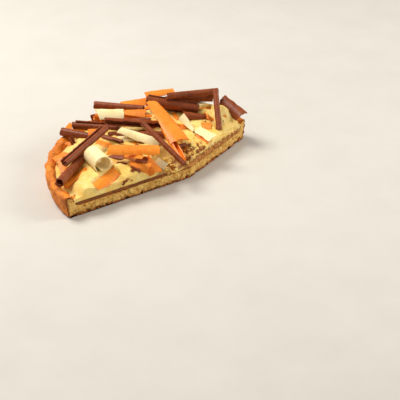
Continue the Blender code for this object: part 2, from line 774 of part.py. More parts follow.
def best_lie(place, lay):
    """Of all the tries, the lie that rests lowest and is seen nearest to its marks."""
    if "lie" in place:
        return place["lie"]
    wanted = [(place["first"][i] + place["last"][i]) / 2.0 for i in range(2)]
    choices = []
    for more, lift in place["tries"]:
        lie, rested = rest_behind(place, more, lift, lay)
        if not 0.0 <= rested <= HEIGHT_LIMIT:
            continue
        (x, y) = lie[0]
        miss = math.dist(mark_of(Vector((x, y, rested))), wanted)
        over_rim = RIM_COST if math.hypot(x, y) > RIM_REACH else 0.0
        choices.append((rested + RISE_COST * abs(more) + MISS_COST * miss + over_rim, lie))
    return min(choices, key=lambda choice: choice[0])[1]


def lay_toppings(collection, crust, caramel, cream):
    """Lays every topping on the heap and returns them."""
    layers = [Layer(crust), Layer(caramel), Layer(cream, give=1.0)]
    laid = []
    for name, material, place, turn, sink, shape in TOPPINGS:

        def lay(lie):
            return lay_sheet(name, collection, material, lie, turn, sink, shape, layers)

        item = lay(best_lie(place, lay))
        layers.append(Layer(item))
        laid.append(item)
    return laid


def press_cream(cream, laid):
    """Lowers the cream's surface to just under whatever has sunk into it."""
    up = Vector((0, 0, 1))
    lowest = {}
    pieces = [Layer(item) for item in laid]
    for piece in pieces:
        for point in piece.samples:
            for square in squares_near(point.x, point.y):
                lowest[square] = min(lowest.get(square, point.z), point.z)
    for vert in cream.data.vertices:
        x, y = vert.co.x / MM, vert.co.y / MM
        bed = (caramel_top(x) + GAP + PRESSED_BED) * MM
        if vert.co.z < bed:
            continue
        crest = cream_height(x, y) * MM
        floor = lowest.get(square_at(vert.co.x, vert.co.y), crest + PRESS_GAP)
        for piece in pieces:
            hit = piece.tree.ray_cast(Vector((vert.co.x, vert.co.y, 0.0)), up)
            if hit[0] is not None:
                floor = min(floor, hit[0].z)
        # the whole column of cream is squeezed, so that its points keep their order
        floor -= PRESS_RIPPLE * (1.0 + math.sin(1.7 * x + 2.3 * y))
        share = (max(floor - PRESS_GAP, bed + PRESSED_LEAST * MM) - bed) / (crest - bed)
        vert.co.z = bed + (vert.co.z - bed) * min(share, 1.0)


def main():
    clear_scene()
    make_materials()
    pie = new_collection("half_cream_pie")
    cutters = new_collection("cutters")
    mould = make_mould(cutters)
    scoop = make_scoop(cutters)
    crust = make_crust(pie)
    caramel = make_caramel(pie, mould, scoop)
    cream = make_cream(pie, mould, scoop)
    bpy.context.view_layer.update()
    press_cream(cream, lay_toppings(pie, crust, caramel, cream))


main()
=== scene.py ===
# %% [markdown]
# # Half of a caramel cream pie
#
# A low pastry case holds a layer of caramel and a bed of whipped cream, and rolls and shavings of
# milk, caramel and white chocolate are heaped on top. The pie has been cut in half, so every
# layer shows along the cut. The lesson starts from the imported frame, whose solids give each piece
# its place, and makes every visible piece again with the surface of the real food.

# %% Load the frame and keep its box
import math
import random

import bmesh
import bpy
from mathutils import Euler, Matrix, Quaternion, Vector, noise
from mathutils.bvhtree import BVHTree


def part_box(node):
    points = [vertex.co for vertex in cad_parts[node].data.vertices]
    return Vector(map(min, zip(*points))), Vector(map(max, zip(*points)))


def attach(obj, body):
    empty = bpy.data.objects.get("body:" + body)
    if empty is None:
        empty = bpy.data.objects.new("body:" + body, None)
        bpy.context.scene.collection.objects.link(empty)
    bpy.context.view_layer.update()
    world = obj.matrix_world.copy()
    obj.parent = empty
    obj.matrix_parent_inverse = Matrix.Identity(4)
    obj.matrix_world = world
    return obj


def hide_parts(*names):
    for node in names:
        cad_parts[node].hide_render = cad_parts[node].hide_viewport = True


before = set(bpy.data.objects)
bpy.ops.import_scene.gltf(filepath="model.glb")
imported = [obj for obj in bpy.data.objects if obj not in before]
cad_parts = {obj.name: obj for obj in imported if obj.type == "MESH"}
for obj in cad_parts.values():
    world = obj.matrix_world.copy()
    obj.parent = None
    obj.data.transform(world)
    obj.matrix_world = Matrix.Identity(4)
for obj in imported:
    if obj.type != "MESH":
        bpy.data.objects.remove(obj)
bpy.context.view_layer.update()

MM = 0.001
print("the frame holds", len(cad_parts), "pieces")

# %% [markdown]
# The measures below are the ones that the frame was made with, in millimetres, with the origin
# under the middle of the round pie. The main cut runs along X, and a second cut took a sliver off
# the right end. Naming them once lets every layer meet the next one exactly.

# %% Measures of the pie
RIM_RADIUS = 130.0
BASE_RADIUS = 126.5
RIM_HEIGHT = 22.4
BACK_RISE = 3.5
BACK_TURN = math.radians(104.0)
BACK_SPREAD = math.radians(62.0)
RIM_WAVES = 7.0
RIM_WAVE_HEIGHT = 0.5
FLUTE_DEPTH = 1.1
FLUTES = 33
FLUTED_BAND = 5.0
WALL = 9.0
INNER = RIM_RADIUS - WALL
FLOOR = 11.0
CUT_Y = -2.0
APEX_X = 20.0
SIDE_TURN = math.radians(21.75)
SIDE_ALONG = (math.cos(SIDE_TURN), math.sin(SIDE_TURN))
UP = Vector((0.0, 0.0, 1.0))
DOWN = Vector((0.0, 0.0, -1.0))


def smoothstep(low, high, value):
    """0 on the low side, 1 on the high side, and a smooth change between."""
    share = min(max((value - low) / (high - low), 0.0), 1.0)
    return share * share * (3.0 - 2.0 * share)


def mix(first, second, share):
    return first + (second - first) * share


def lumps(x, y, z, size, seed=0.0):
    """Soft lumps from -1 to 1, about as wide as size."""
    return noise.noise(Vector((x / size + seed, y / size - seed, z / size + 0.5 * seed)))


def rim_rise(angle):
    """How much higher the rim stands at this angle, highest round the back."""
    away = abs((angle - BACK_TURN + math.pi) % (2.0 * math.pi) - math.pi)
    rise = BACK_RISE * (1.0 - smoothstep(0.0, BACK_SPREAD, away))
    return rise + RIM_WAVE_HEIGHT * math.sin(RIM_WAVES * angle)


def behind_cut(x, y):
    """How far a point lies behind the nearer of the two cuts."""
    side = (y - CUT_Y) * SIDE_ALONG[0] - (x - APEX_X) * SIDE_ALONG[1]
    return min(y - CUT_Y, side)


# %% [markdown]
# Most pieces end in the same few steps: millimetres become metres, the faces are shaded smooth,
# the material goes on, the piece is told which body carries it, and its solid is hidden.
# One helper does this, so that no step is forgotten.

# %% A helper that finishes a piece
def finish(bm, name, materials, stands_for=None, crease=math.radians(50.0)):
    bmesh.ops.scale(bm, vec=(MM, MM, MM), verts=bm.verts)
    for face in bm.faces:
        face.smooth = True
    for edge in bm.edges:
        edge.smooth = len(edge.link_faces) < 2 or edge.calc_face_angle(0.0) < crease
    mesh = bpy.data.meshes.new(name)
    bm.to_mesh(mesh)
    bm.free()
    piece = bpy.data.objects.new(name, mesh)
    bpy.context.scene.collection.objects.link(piece)
    for material in materials:
        mesh.materials.append(material)
    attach(piece, "root")
    if stands_for:
        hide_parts(stands_for)
    return piece

# %% [markdown]
# ## Colours and finishes
#
# Food is never one flat colour. Each finish mixes a light and a dark tone with soft noise at two
# sizes, and the same noise lifts the surface a little. The mixing is one node group, so all six
# finishes share it, and each gives it its own tones and sizes.

# %% Tones, and the group that mottles them
def tone(red, green, blue):
    """A screen colour from 0 to 255 as the linear colour that a shader wants."""
    parts = []
    for value in (red, green, blue):
        share = value / 255.0
        parts.append(share / 12.92 if share <= 0.04045 else ((share + 0.055) / 1.055) ** 2.4)
    return (*parts, 1.0)


def new_group(name, inputs, outputs):
    group = bpy.data.node_groups.new(name, "ShaderNodeTree")
    for kind, label, value in inputs:
        socket = group.interface.new_socket(label, in_out="INPUT", socket_type=kind)
        socket.default_value = value
    for kind, label in outputs:
        group.interface.new_socket(label, in_out="OUTPUT", socket_type=kind)
    return group, group.nodes.new("NodeGroupInput"), group.nodes.new("NodeGroupOutput")


def node(tree, kind, **settings):
    made = tree.nodes.new(kind)
    for key, value in settings.items():
        setattr(made, key, value)
    return made


def maths(tree, operation, first, second=None):
    made = node(tree, "ShaderNodeMath", operation=operation)
    for socket, value in zip(made.inputs, (first, second)):
        if value is None:
            continue
        if isinstance(value, (int, float)):
            socket.default_value = value
        else:
            tree.links.new(value, socket)
    return made.outputs[0]


def blend_colours(tree, share, first, second):
    """Mixes two colours, each a socket or a plain colour."""
    made = node(tree, "ShaderNodeMix", data_type="RGBA")
    for socket, value in ((made.inputs[0], share), (made.inputs[6], first), (made.inputs[7], second)):
        if isinstance(value, (tuple, float)):
            socket.default_value = value
        else:
            tree.links.new(value, socket)
    return made.outputs[2]


def noise_at(tree, vector, scale, detail):
    made = node(tree, "ShaderNodeTexNoise")
    tree.links.new(vector, made.inputs["Vector"])
    made.inputs["Detail"].default_value = detail
    made.inputs["Roughness"].default_value = 0.6
    if isinstance(scale, (int, float)):
        made.inputs["Scale"].default_value = scale
    else:
        tree.links.new(scale, made.inputs["Scale"])
    return made.outputs[0]


def spread(tree, value, low, high):
    made = node(tree, "ShaderNodeMapRange")
    tree.links.new(value, made.inputs["Value"])
    made.inputs["From Min"].default_value = low
    made.inputs["From Max"].default_value = high
    return made.outputs[0]


mottle, mottle_in, mottle_out = new_group(
    "mottle",
    [
        ("NodeSocketColor", "Light", tone(250, 240, 200)),
        ("NodeSocketColor", "Dark", tone(220, 200, 150)),
        ("NodeSocketFloat", "Broad", 80.0),
        ("NodeSocketFloat", "Fine", 500.0),
    ],
    [("NodeSocketColor", "Colour"), ("NodeSocketFloat", "Height")],
)
place = mottle.nodes.new("ShaderNodeTexCoord").outputs["Object"]
broad = noise_at(mottle, place, mottle_in.outputs["Broad"], 3.0)
fine = noise_at(mottle, place, mottle_in.outputs["Fine"], 3.0)
height = maths(mottle, "ADD", maths(mottle, "MULTIPLY", broad, 0.55), maths(mottle, "MULTIPLY", fine, 0.45))
share = spread(mottle, height, 0.36, 0.64)
colour = blend_colours(mottle, share, mottle_in.outputs["Dark"], mottle_in.outputs["Light"])
mottle.links.new(colour, mottle_out.inputs["Colour"])
mottle.links.new(height, mottle_out.inputs["Height"])


# %% [markdown]
# A finish starts as a plain shader with its own roughness. The mottle group gives it colour and
# relief, and what is special about one food, such as the painted shade in the small holes of the
# crumb or the stripes that the scraper leaves on chocolate, is added to that finish alone.

# %% A finish from the mottle group
def new_finish(name, light, dark, broad, fine, roughness, relief, soft=0.0):
    """Returns the material with its tree, its shader, and the mottled colour and height."""
    material = bpy.data.materials.new(name)
    material.use_nodes = True
    tree = material.node_tree
    shader = tree.nodes["Principled BSDF"]
    shader.inputs["Roughness"].default_value = roughness
    shader.inputs["Subsurface Weight"].default_value = soft
    shader.inputs["Subsurface Scale"].default_value = 0.004
    shader.inputs["Specular IOR Level"].default_value = 0.3
    group = node(tree, "ShaderNodeGroup", node_tree=mottle)
    group.inputs["Light"].default_value = tone(*light)
    group.inputs["Dark"].default_value = tone(*dark)
    group.inputs["Broad"].default_value = broad
    group.inputs["Fine"].default_value = fine
    bump = node(tree, "ShaderNodeBump", name="relief")
    bump.inputs["Strength"].default_value = 0.6
    bump.inputs["Distance"].default_value = relief * MM
    tree.links.new(group.outputs["Colour"], shader.inputs["Base Color"])
    tree.links.new(group.outputs["Height"], bump.inputs["Height"])
    tree.links.new(bump.outputs[0], shader.inputs["Normal"])
    return material, tree, shader, group.outputs["Colour"], group.outputs["Height"]


def mask(tree, name):
    """A number that the mesh keeps at each point under this name."""
    return node(tree, "ShaderNodeAttribute", attribute_name=name).outputs["Fac"]


# %% Baked pastry, outside and inside
skin, tree, shader, colour, _ = new_finish(
    "pastry_skin", (246, 148, 42), (200, 98, 16), 70.0, 420.0, 0.7, 0.8
)
place = node(tree, "ShaderNodeTexCoord").outputs["Object"]
toasted = spread(tree, noise_at(tree, place, 55.0, 4.0), 0.46, 0.66)
colour = blend_colours(tree, maths(tree, "MULTIPLY", toasted, 0.55), colour, tone(176, 82, 14))
grains = spread(tree, noise_at(tree, place, 850.0, 2.0), 0.54, 0.66)
colour = blend_colours(tree, maths(tree, "MULTIPLY", grains, 0.5), colour, tone(252, 196, 112))
colour = blend_colours(tree, mask(tree, "bake"), colour, tone(140, 64, 12))
tree.links.new(colour, shader.inputs["Base Color"])

crumb, tree, shader, colour, _ = new_finish(
    "pastry_crumb", (248, 208, 120), (200, 138, 54), 140.0, 700.0, 0.85, 1.0
)
place = node(tree, "ShaderNodeTexCoord").outputs["Object"]
# painted shade: dark brown dots stand for the shade inside the crumb's small holes
pore_shade = spread(tree, noise_at(tree, place, 520.0, 2.0), 0.40, 0.30)
colour = blend_colours(tree, maths(tree, "MULTIPLY", pore_shade, 0.75), colour, tone(122, 72, 20))
colour = blend_colours(tree, mask(tree, "bake"), colour, tone(132, 66, 14))
tree.links.new(colour, shader.inputs["Base Color"])

# %% Cream and caramel
cream_finish, tree, shader, colour, _ = new_finish(
    "cream", (248, 224, 146), (242, 194, 84), 60.0, 380.0, 0.5, 0.5, soft=0.12
)
colour = blend_colours(tree, mask(tree, "stain"), colour, tone(166, 108, 62))
tree.links.new(colour, shader.inputs["Base Color"])

caramel_finish, tree, shader, colour, _ = new_finish(
    "caramel", (152, 82, 12), (104, 50, 4), 90.0, 450.0, 0.4, 0.6
)
place = node(tree, "ShaderNodeTexCoord").outputs["Object"]
streaks = spread(tree, noise_at(tree, place, 260.0, 4.0), 0.35, 0.65)
smeared = blend_colours(tree, streaks, tone(148, 80, 16), tone(214, 148, 66))
colour = blend_colours(tree, mask(tree, "smear"), colour, smeared)
tree.links.new(colour, shader.inputs["Base Color"])

# %% [markdown]
# A scraper with a slightly nicked edge makes the chocolate shavings, and leaves fine lines that
# run round each roll. The lines follow the sheet, so they are drawn on its own UV map: noise that
# is squeezed across the roll and stretched round it.

# %% Three chocolates
def chocolate(name, light, dark, line, soft):
    """A chocolate with the scraper's fine lines in a third tone."""
    material, tree, shader, colour, height = new_finish(name, light, dark, 40.0, 300.0, 0.4, 0.25, soft)
    stretch = node(tree, "ShaderNodeMapping")
    stretch.inputs["Scale"].default_value = (34.0, 1.6, 1.0)
    tree.links.new(node(tree, "ShaderNodeUVMap", uv_map="UVMap").outputs[0], stretch.inputs["Vector"])
    lines = spread(tree, noise_at(tree, stretch.outputs[0], 1.0, 3.0), 0.42, 0.62)
    colour = blend_colours(tree, maths(tree, "MULTIPLY", lines, 0.4), colour, tone(*line))
    tree.links.new(colour, shader.inputs["Base Color"])
    relief = tree.nodes["relief"]
    tree.links.new(maths(tree, "ADD", height, maths(tree, "MULTIPLY", lines, 0.5)), relief.inputs["Height"])
    return material


milk = chocolate("milk_chocolate", (146, 70, 30), (112, 48, 16), (168, 88, 42), 0.0)
blond = chocolate("caramel_chocolate", (249, 147, 42), (236, 120, 18), (255, 167, 62), 0.08)
white = chocolate("white_chocolate", (255, 239, 188), (249, 222, 152), (255, 244, 206), 0.1)
print("finishes:", [item.name for item in bpy.data.materials if item.users])

# %% [markdown]
# ## Cutting a round layer open
#
# The case, the caramel and the cream are all made the way the pie was: round and whole first, and
# then cut. Each bisect takes away what lies beyond a cut and leaves an open outline, which is
# filled with one face. Ruling that face into small squares gives the cut its own points, so that
# the crumb can have real holes and the cream a real drag mark.

# %% The two cuts, and a helper that makes them
APEX = Vector((APEX_X, CUT_Y, 0.0))
CUTS = [
    (APEX, Vector((0.0, -1.0, 0.0)), Vector((1.0, 0.0, 0.0))),
    (APEX, Vector((SIDE_ALONG[1], -SIDE_ALONG[0], 0.0)), Vector((*SIDE_ALONG, 0.0))),
]


def lies_in_plane(face, point, normal):
    apart = (face.calc_center_median() - point).dot(normal)
    return abs(face.normal.dot(normal)) > 0.99 and abs(apart) < 0.01


def cut_open(bm, step):
    """Cuts a round layer by both planes and returns each cut's direction, faces and points."""
    for point, normal, _ in CUTS:
        opened = bmesh.ops.bisect_plane(
            bm,
            geom=bm.verts[:] + bm.edges[:] + bm.faces[:],
            dist=0.001,
            plane_co=point,
            plane_no=normal,
            clear_outer=True,
        )
        outline = [part for part in opened["geom_cut"] if isinstance(part, bmesh.types.BMEdge)]
        bmesh.ops.holes_fill(bm, edges=outline, sides=0)
    bm.normal_update()
    made = []
    for point, normal, along in CUTS:
        faces = [face for face in bm.faces if lies_in_plane(face, point, normal)]
        parts = faces + list({edge for face in faces for edge in face.edges})
        parts += list({vert for face in faces for vert in face.verts})
        for across in (along, UP):
            reach = [part.co.dot(across) for part in parts if isinstance(part, bmesh.types.BMVert)]
            for index in range(1, int((max(reach) - min(reach)) / step) + 1):
                place = across * (min(reach) + step * index)
                ruled = bmesh.ops.bisect_plane(bm, geom=parts, dist=0.04, plane_co=place, plane_no=across)
                parts = ruled["geom"]
        faces = [part for part in parts if isinstance(part, bmesh.types.BMFace)]
        made.append((normal, faces, {vert for face in faces for vert in face.verts}))
    return made


# %% [markdown]
# ## The pastry case
#
# The case is a short crust: a flat floor, a flared wall and a rounded, slightly fluted rim. It is
# turned like a bowl, so its section is drawn once and spun. Chaikin's corner cutting rounds the
# section's wall first, and short steps along it leave enough points for the baked surface.

# %% Section of the case, rounded and stepped
def round_corners(points, passes):
    """Cuts every corner of a line of points, again and again, until it looks round."""
    for _ in range(passes):
        softer = [points[0]]
        for first, second in zip(points, points[1:]):
            softer.append(tuple(mix(first[i], second[i], 0.25) for i in range(2)))
            softer.append(tuple(mix(first[i], second[i], 0.75) for i in range(2)))
        points = softer + [points[-1]]
    return points


def short_steps(points, step):
    """Adds points to a line until none are further apart than about one step."""
    stepped = [points[0]]
    for first, second in zip(points, points[1:]):
        count = max(1, round(math.dist(first, second) / step))
        for k in range(1, count + 1):
            stepped.append(tuple(mix(first[i], second[i], k / count) for i in range(2)))
    return stepped


wall_section = round_corners(
    [
        (INNER - 7.0, FLOOR),
        (INNER - 3.5, FLOOR + 1.2),
        (INNER - 1.8, FLOOR + 4.0),
        (INNER - 0.4, RIM_HEIGHT - 2.2),
        (INNER + 1.4, RIM_HEIGHT - 0.3),
        (INNER + 4.6, RIM_HEIGHT + 0.6),
        (RIM_RADIUS - 1.2, RIM_HEIGHT - 0.3),
        (RIM_RADIUS + 0.1, RIM_HEIGHT - 2.4),
        (RIM_RADIUS - 1.6, RIM_HEIGHT * 0.5),
        (BASE_RADIUS + 0.4, 2.0),
        (BASE_RADIUS - 1.2, 0.0),
    ],
    passes=2,
)
section = [(0.0, FLOOR)] + short_steps(wall_section, step=1.1) + [(0.0, 0.0)]
print("the section has", len(section), "points")

# %% [markdown]
# The whole case is spun, and then baked. Its rim rises a little round the back, the flutes push the
# wall in and out, and noise gives the blistered skin of a short crust: lumps, small bubbles and
# grit, each moved along the surface's own direction.

# %% Spin the case
def turn_section(bm, points, steps, merge):
    """Spins a section, given as radius and height, once round the Z axis."""
    corners = [bm.verts.new((radius, 0.0, height)) for radius, height in points]
    for first, second in zip(corners, corners[1:]):
        bm.edges.new((first, second))
    whole = math.radians(360.0)
    parts = bm.verts[:] + bm.edges[:]
    bmesh.ops.spin(
        bm, geom=parts, axis=UP, cent=(0, 0, 0), steps=steps, angle=whole, use_merge=True
    )
    bmesh.ops.remove_doubles(bm, verts=bm.verts, dist=merge)


case = bmesh.new()
bake = case.verts.layers.float.new("bake")
turn_section(case, section, steps=700, merge=0.01)
bmesh.ops.recalc_face_normals(case, faces=case.faces)


# %% Flute the wall and bake its skin
def blister(x, y, z):
    """Relief of the baked skin at a point, in millimetres."""
    bubble = noise.voronoi(Vector((x, y, z)) / 4.2)[0][0]
    relief = 0.55 * lumps(x, y, z, 9.0) + 0.75 * lumps(x, y, z, 4.2, 5.0) + 0.55 * lumps(x, y, z, 2.3, 9.0)
    return relief + 0.8 * (0.42 - bubble)


for vert in case.verts:
    x, y, z = vert.co
    radius, angle = math.hypot(x, y), math.atan2(y, x)
    vert.co.z += rim_rise(angle) * smoothstep(FLOOR + 1.0, RIM_HEIGHT, z)
    if radius > RIM_RADIUS - FLUTED_BAND:
        uneven = 0.35 * math.sin(3.0 * angle + 0.7)
        uneven += math.sin(FLUTES * angle + 0.8 * math.sin(2.0 * angle))
        push = 0.6 * FLUTE_DEPTH * uneven * smoothstep(0.0, RIM_HEIGHT, z)
        vert.co.x += push * math.cos(angle)
        vert.co.y += push * math.sin(angle)
case.normal_update()
for vert in case.verts:
    x, y, z = vert.co
    if math.hypot(x, y) > INNER - 8.0 and z > 0.3:
        vert.co += vert.normal * (blister(x, y, z) * smoothstep(0.3, 3.0, z))
        browned = 0.55 * smoothstep(0.1, 0.7, lumps(x, y, z, 6.0, 3.0))
        browned += 0.8 * (1.0 - smoothstep(0.5, 4.5, z))
        vert[bake] = min(browned, 1.0)
print("case turned:", len(case.verts), "points")

# %% [markdown]
# Inside, a short crust is pale and full of small holes, and it browns over its outermost three
# millimetres. The holes are pushed in from the cut, and the distance to the skin is kept on each point
# for the finish to read.

# %% Cut the case and open its crumb
for normal, faces, points in cut_open(case, step=0.85):
    for face in faces:
        face.material_index = 1
    for vert in points:
        x, y, z = vert.co
        radius, angle = math.hypot(x, y), math.atan2(y, x)
        outside = mix(BASE_RADIUS, RIM_RADIUS, z / RIM_HEIGHT) - radius
        above = RIM_HEIGHT + rim_rise(angle) - z if radius > INNER - 1.0 else 9.0
        inside = min(z, outside, above) + 0.9 * lumps(x, y, z, 3.0, 2.0)
        vert[bake] = 1.0 - smoothstep(0.9, 3.6, inside)
        hole = smoothstep(0.10, 0.45, lumps(x, y, z, 2.6)) * 1.1
        hole += smoothstep(0.05, 0.5, lumps(x, y, z, 1.5, 4.0)) * 0.5
        crumbled = 0.8 * smoothstep(0.0, 0.6, lumps(x, y, z, 7.0, 6.0))
        crumbled += 2.2 * smoothstep(5.0, 0.0, z) * smoothstep(-0.1, 0.5, lumps(x, y, z, 5.0, 16.0))
        vert.co -= normal * (hole + crumbled)
bmesh.ops.recalc_face_normals(case, faces=case.faces)
print("case cut:", len(case.verts), "points,", len(case.faces), "faces")
finish(case, "pastry_case", [skin, crumb], "crust", crease=math.radians(65.0))

# %% [markdown]
# ## Rolls and shavings
#
# A roll is a thin sheet of chocolate that curled up as a blade scraped it off a block, and a slab
# is a sheet that only bent. Both start from a flat grid, which is wound round the sheet's length.
# A shape gives the radius and how far the sheet is wound, `narrow` and `slant` make its ends
# uneven, as scraped sheets are, and `twist` turns one end against the other.

# %% Two kinds of sheet
SHEET = 1.1
SHEET_CREASE = math.radians(45.0)
EDGE_STARTS = 0.88


def roll(radius, turns=1.4, pitch=1.9, slant=(0, 0), narrow=(1, 1), taper=1, bow=0, twist=0):
    wound = dict(radius=radius, sweep=360.0 * turns, pitch=pitch)
    return dict(wound, slant=slant, narrow=narrow, taper=taper, bow=bow, twist=twist)


def slab(width, bend=50, slant=(0, 0), narrow=(1, 1), bow=0, twist=0):
    bent = dict(radius=width / math.radians(bend), sweep=bend, pitch=0.0)
    return dict(bent, slant=slant, narrow=narrow, taper=1, bow=bow, twist=twist)


def edge_share(value):
    """Zero inside a sheet, and rising to -1 and 1 at its two ends."""
    return smoothstep(EDGE_STARTS, 1.0, value) - smoothstep(EDGE_STARTS, 1.0, 1.0 - value)


def shave(length, shape, seed):
    """Winds a flat grid into a sheet, with broken edges and a little unevenness."""
    bm = bmesh.new()
    bm.loops.layers.uv.new("UVMap")
    width = math.radians(shape["sweep"]) * shape["radius"]
    crown = 0.0 if shape["pitch"] else shape["radius"]
    bmesh.ops.create_grid(
        bm,
        x_segments=max(8, min(36, round(length / 1.5))),
        y_segments=max(8, min(40, round(width / 0.9))),
        size=0.5,
        calc_uvs=True,
    )
    for vert in bm.verts:
        u, v = vert.co.x + 0.5, vert.co.y + 0.5
        along, round_it = u * length, v * width
        broken_end = 0.9 * lumps(round_it, seed, 0.0, 4.0) + 0.5 * lumps(round_it, seed, 5.0, 1.7)
        broken_side = 1.0 * lumps(along, seed, 9.0, 6.0) + 0.45 * lumps(along, seed, 2.0, 2.0)
        wide = mix(shape["narrow"][0], shape["narrow"][1], u)
        across = 0.5 + (v - 0.5) * wide + edge_share(v) * broken_side * wide / width
        turned = math.radians(shape["sweep"] * (across - 0.5))
        reach = shape["radius"] - shape["pitch"] * shape["sweep"] * across / 360.0
        reach += 0.10 * lumps(along, round_it, seed, 7.0)
        swell = mix(1.0, shape["taper"], u)
        slant = mix(shape["slant"][0], shape["slant"][1], u)
        vert.co.x = along - length / 2.0 + slant * (v - 0.5) + edge_share(u) * broken_end
        y, z = reach * math.sin(turned) * swell, reach * math.cos(turned) * swell - crown
        twist = math.radians(shape["twist"] * (u - 0.5))
        vert.co.y = y * math.cos(twist) - z * math.sin(twist)
        bow = shape["bow"] * (1.0 - (2.0 * u - 1.0) ** 2)
        vert.co.z = y * math.sin(twist) + z * math.cos(twist) + bow
    bm.normal_update()
    for vert in bm.verts:
        vert.co += vert.normal * SHEET / 2.0
    bmesh.ops.solidify(bm, geom=bm.faces[:] + bm.edges[:] + bm.verts[:], thickness=SHEET)
    return bm


# %% [markdown]
# Each row of the table names a piece, says how far it is turned about its own axis, and gives its
# shape. The frame already knows how each piece lies. The long edges of its solid run along the
# sheet, so their mean gives the heading and the tilt, and the solid's reach that way gives the
# length. The new sheet is then moved to the middle of its solid's box. The first word of the name
# is the chocolate.

# %% The table of shavings
SHAVINGS = [
    ("milk_roll_far_left", 60, roll(4.8, turns=1.4, slant=(2, 0))),
    ("caramel_slab_far", -20, slab(14, bend=70, slant=(3, -2))),
    ("milk_roll_far", 20, roll(4.8, turns=1.4, slant=(-2, 2))),
    ("white_slab_far", -15, slab(13, bend=80, slant=(-2, 2))),
    ("caramel_slab_rim", -5, slab(9, bend=30, slant=(2, -2))),
    ("caramel_slab_left", 10, slab(10, bend=35, narrow=(1, 0.7))),
    ("caramel_strip_left", -12, slab(10, bend=40, slant=(2, 3), narrow=(0.8, 1), twist=-25)),
    ("caramel_chip_left", 15, slab(6, bend=40, narrow=(0.7, 1))),
    ("caramel_slab_back_left", 10, slab(8, bend=40, narrow=(1, 0.5))),
    ("caramel_slab_hanging", 5, slab(14, bend=60, narrow=(0.75, 1), twist=40)),
    ("white_chip_front", 35, slab(10, bend=35, narrow=(0.8, 0.9))),
    ("caramel_leaf_front", 25, slab(15, bend=110, narrow=(0.4, 0.9), twist=40)),
    ("milk_chunk_front", 60, roll(3.2, turns=1.1)),
    ("milk_slab_behind_leaf", 20, slab(11, bend=30, narrow=(1, 0.6))),
    ("caramel_shard_front", 20, slab(9, bend=35, narrow=(0.6, 0.5))),
    ("milk_shard_front", 15, slab(11, bend=30, narrow=(0.15, 1))),
    ("milk_chunk_right", 40, roll(3.4, turns=1.1)),
    ("caramel_slab_folded", 20, slab(20, bend=100, slant=(2, 2), narrow=(0.55, 0.9), twist=34)),
    ("milk_roll_front_left", 15, roll(5.2, turns=1.3, slant=(0, -2))),
    ("white_curl", 20, roll(11, turns=1.35, pitch=3.6, slant=(0, 3))),
    ("milk_roll_middle", 20, roll(4.5, turns=1.5, slant=(2, 3))),
    ("caramel_slab_front", 18, slab(17, bend=100, slant=(3, 0), narrow=(0.75, 1), twist=-16)),
    ("caramel_slab_middle", 8, slab(11, bend=45, narrow=(0.7, 1))),
    ("milk_roll_pointed", -60, roll(3.8, turns=0.9, narrow=(1, 0.6), taper=0.7, twist=40)),
    ("caramel_strip_right", 25, slab(6, bend=45)),
    ("caramel_slab_right", 25, slab(11, bend=45, narrow=(1, 0.8))),
    ("white_slab_right", 20, slab(10, bend=50)),
    ("milk_roll_right", 60, roll(4.6, turns=1.3, slant=(0, 3))),
    ("caramel_chip_right", 30, slab(11, bend=50, narrow=(0.2, 1))),
    ("caramel_shard_right", 30, slab(7, bend=50, narrow=(1, 0.6))),
    ("milk_roll_rim", 30, roll(5, turns=1.3, taper=0.85, slant=(3, 0))),
    ("milk_roll_left", 100, roll(5.1, turns=1.5, slant=(-5, 0))),
    ("caramel_slab_far_left", 20, slab(8, bend=40)),
    ("milk_roll_torn", -70, roll(4, turns=0.8, slant=(2, 4))),
    ("white_slab_folded", 5, slab(13, bend=80, narrow=(0.7, 1), twist=-50)),
    ("caramel_roll_left", 40, roll(3.9, turns=1.2, taper=0.9, slant=(2, 0))),
    ("milk_curl_middle", -95, roll(4.4, turns=0.78, slant=(3, 0))),
    ("caramel_slab_upper_left", 25, slab(11, bend=40, narrow=(0.5, 1))),
    ("white_slab_left", 35, slab(13, bend=55, slant=(-3, 3))),
    ("white_slab_middle", 12, slab(14, bend=90, slant=(4, 3), twist=30)),
    ("milk_roll_top_left", 10, roll(4.8, turns=1.5, slant=(1, 2))),
    ("milk_roll_top", 80, roll(6.3, turns=1.4, taper=0.88, slant=(-2, 2))),
    ("milk_roll_back", 20, roll(5, turns=1.4, taper=1.1, slant=(3, 0))),
    ("caramel_slab_back_a", 20, slab(11, bend=50, narrow=(0.7, 1), twist=25)),
    ("caramel_slab_back_b", 20, slab(11, bend=50, narrow=(1, 0.6))),
    ("milk_roll_back_top", 0, roll(4, turns=1.3, slant=(2, 0))),
    ("milk_curl_long", 95, roll(5.3, turns=1.05, pitch=4)),
    ("milk_roll_twin", 180, roll(2.8, turns=0.9)),
    ("caramel_curl_leaning", 160, roll(4.3, turns=0.8)),
    ("milk_roll_leaning", 0, roll(3.4, turns=1.4)),
    ("caramel_slab_big", -5, slab(21, bend=70, narrow=(0.68, 1), bow=1.5, twist=14)),
    ("milk_curl_right", 0, roll(3.5, turns=1, slant=(2, -2))),
    ("milk_slab_right", 40, slab(17, bend=110, narrow=(0.7, 1), slant=(-3, 3))),
]
CHOCOLATES = {"milk": milk, "caramel": blond, "white": white}

# %% Read how each solid lies
START_TURN = math.radians(35.5)
START_TO_END = Vector((math.cos(START_TURN), -math.sin(START_TURN), 0.0))
LEAST_BEND = math.radians(4.0)


